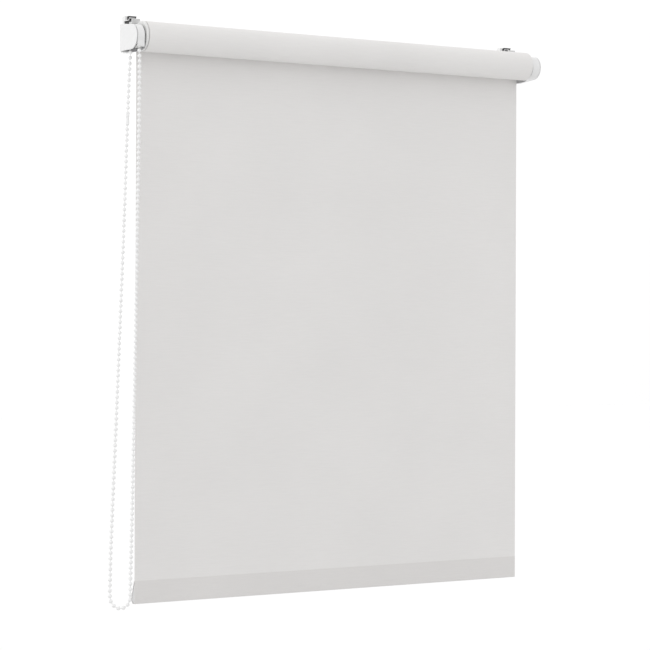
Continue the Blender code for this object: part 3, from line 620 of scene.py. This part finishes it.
def hem_band():
    """The pocket at the bottom: the cloth folded round the bar and welded to itself along the top."""
    low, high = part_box("hem_pocket")
    # The band laps over the sheet's lower edge, so no light comes through between them.
    front = low.y - HEM_LAP_FORWARD
    rear = high.y
    top = high.z + HEM_LAP_UP
    bottom = low.z
    corners = (
        (front, top, 0.0),
        (front, bottom, 1.0 * MM),
        (rear - HEM_HEEL, bottom, 1.4 * MM),
        (rear, bottom + HEM_SHOULDER, 1.2 * MM),
        (front + HEM_NECK, top, 0.0),
    )
    outer = rounded(corners)
    inner = rounded(inset(corners, HEM_WALL))
    columns = HEM_COLUMNS
    bm = bmesh.new()
    rings = []
    for i in range(columns + 1):
        x = low.x + (high.x - low.x) * i / columns
        ring = [bm.verts.new((x, y, z)) for y, z in outer]
        hollow = [bm.verts.new((x, y, z)) for y, z in inner]
        rings.append((ring, hollow))
    count = len(outer)
    for (ring_a, hollow_a), (ring_b, hollow_b) in zip(rings, rings[1:]):
        for k in range(count):
            after = (k + 1) % count
            bm.faces.new((ring_a[k], ring_a[after], ring_b[after], ring_b[k]))
            bm.faces.new((hollow_a[k], hollow_b[k], hollow_b[after], hollow_a[after]))
    for ring, hollow in (rings[0], rings[-1]):
        for k in range(count):
            after = (k + 1) % count
            bm.faces.new((ring[k], hollow[k], hollow[after], ring[after]))
    band = new_piece("hem_band", bm, SHADED_HEM_CLOTH, "hem", 50)
    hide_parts("hem_pocket")
    return band


def rounded(corners, segments=8):
    """An outline whose corners (y, z, radius) are replaced by arcs."""
    points = []
    count = len(corners)
    for i, (y, z, radius) in enumerate(corners):
        here = Vector((y, z))
        if radius <= 0:
            points.append((y, z))
            continue
        before = (Vector(corners[i - 1][:2]) - here).normalized()
        after = (Vector(corners[(i + 1) % count][:2]) - here).normalized()
        half = before.angle(after) / 2
        centre = here + (before + after).normalized() * (radius / math.sin(half))
        first = here + before * (radius / math.tan(half)) - centre
        last = here + after * (radius / math.tan(half)) - centre
        sweep = first.angle_signed(last)
        start = math.atan2(first.y, first.x)
        for k in range(segments + 1):
            angle = start - sweep * k / segments
            point_y = centre.x + radius * math.cos(angle)
            point_z = centre.y + radius * math.sin(angle)
            points.append((point_y, point_z))
    return points


def inset(corners, distance):
    """The same corners moved inwards. The outline runs anticlockwise."""
    moved = []
    count = len(corners)
    for i, (y, z, radius) in enumerate(corners):
        here = Vector((y, z))
        into = (here - Vector(corners[i - 1][:2])).normalized()
        out = (Vector(corners[(i + 1) % count][:2]) - here).normalized()
        left_in = Vector((-into.y, into.x))
        left_out = Vector((-out.y, out.x))
        spot = here + (left_in + left_out) / (1 + left_in.dot(left_out)) * distance
        moved.append((spot.x, spot.y, max(radius - distance, 0.2 * MM) if radius > 0 else 0.0))
    return moved


# Kept CAD nodes


def dress_nodes():
    """Better materials on the CAD pieces that stay."""
    finishes = {
        "drive_cover": WHITE,
        "drive_housing": WHITE,
        "idle_cover": WHITE,
        "idle_housing": WHITE,
        "chain_guide": INNER_WHITE,
        "sprocket": INNER_WHITE,
        "clutch_core": INNER_WHITE,
        "drive_sleeve": INNER_WHITE,
        "idle_plug": INNER_WHITE,
        "idle_bush": INNER_WHITE,
        "bar_cap_left": GREY,
        "bar_cap_right": GREY,
        "chain_wrap": BEADS,
        "core_end_cap": SPRING,
        "brake_spring_a": SPRING,
        "brake_spring_b": SPRING,
        "idle_pin": SPRING,
        "roller_tube": ALUMINIUM,
        "bottom_bar": ALUMINIUM,
        "edge_strip": TAPE,
    }
    for side in ("drive", "idle"):
        finishes[side + "_bracket"] = ZINC
        finishes[side + "_strap_holder"] = GREY
        finishes[side + "_strap"] = BLACK_STEEL
        finishes[side + "_rivet"] = SPRING
        finishes[side + "_locking_lever"] = BLACK_STEEL
        finishes[side + "_clamp_block"] = WHITE
        finishes[side + "_lever_pin"] = INNER_WHITE
    for name, material in finishes.items():
        mesh = NODES[name].data
        mesh.materials.clear()
        mesh.materials.append(material)


# Studio


# The surround's brightness in a direction d is SKY_LEVEL + SKY_SLOPE . d, brightest above and behind.
SKY_LEVEL = 0.965
SKY_SLOPE = (-0.12, 0.15, 0.10)
FLOOR_SHADE_REACH = 3.3
FLOOR_MIDDLE = (-0.3, -1.0, -1.05)


def studio():
    """A pale floor, darkened under the blind with painted shade, a white surround and a soft light."""
    bm = bmesh.new()
    bmesh.ops.create_grid(bm, x_segments=4, y_segments=4, size=14.0)
    mesh = bpy.data.meshes.new("floor")
    bm.to_mesh(mesh)
    bm.free()
    floor = bpy.data.objects.new("floor", mesh)
    floor.location = FLOOR_MIDDLE
    surface = Surface("floor", 0.9, specular=0.0)
    painted_shade_spread = surface.add("ShaderNodeTexGradient", gradient_type="SPHERICAL")
    surface.link(surface.stretched((1 / FLOOR_SHADE_REACH,) * 3), painted_shade_spread.inputs["Vector"])
    # Painted shade: the floor is darker under the blind, holding back the light bounced up onto it from
    # below; far off it is a plain pale floor.
    surface.ramp(painted_shade_spread.outputs["Fac"], ((0.0, 0.98), (0.35, 0.74)), "Base Color")
    mesh.materials.append(surface.material)
    bpy.context.scene.collection.objects.link(floor)

    world = bpy.data.worlds.new("surround")
    world.use_nodes = True
    tree = world.node_tree
    direction = tree.nodes.new("ShaderNodeTexCoord")
    slope = tree.nodes.new("ShaderNodeVectorMath")
    slope.operation = "DOT_PRODUCT"
    slope.inputs[1].default_value = SKY_SLOPE
    level = tree.nodes.new("ShaderNodeMath")
    level.operation = "ADD"
    level.inputs[1].default_value = SKY_LEVEL
    back = tree.nodes["Background"]
    back.inputs["Color"].default_value = (1.0, 1.0, 1.0, 1.0)
    tree.links.new(direction.outputs["Generated"], slope.inputs[0])
    tree.links.new(slope.outputs["Value"], level.inputs[0])
    tree.links.new(level.outputs["Value"], back.inputs["Strength"])
    bpy.context.scene.world = world
    bpy.context.scene.view_settings.view_transform = "Standard"

    area_light("side_light", (-2.0, -0.6, 0.8), (0.0, -0.03, -0.1), 1.6, 1.8)


def area_light(name, place, target, size, power):
    """A square light of a given power, in watts, turned to its target."""
    data = bpy.data.lights.new(name, "AREA")
    data.shape = "SQUARE"
    data.size = size
    data.energy = power
    light = bpy.data.objects.new(name, data)
    light.location = place
    light.rotation_mode = "QUATERNION"
    light.rotation_quaternion = (Vector(place) - Vector(target)).to_track_quat("Z", "Y")
    bpy.context.scene.collection.objects.link(light)


make_camera()
bead_chain()
pin_spring()
sheet, sheet_size = hanging_sheet()
roll = wound_cloth()
hem = hem_band()
dress_nodes()
studio()
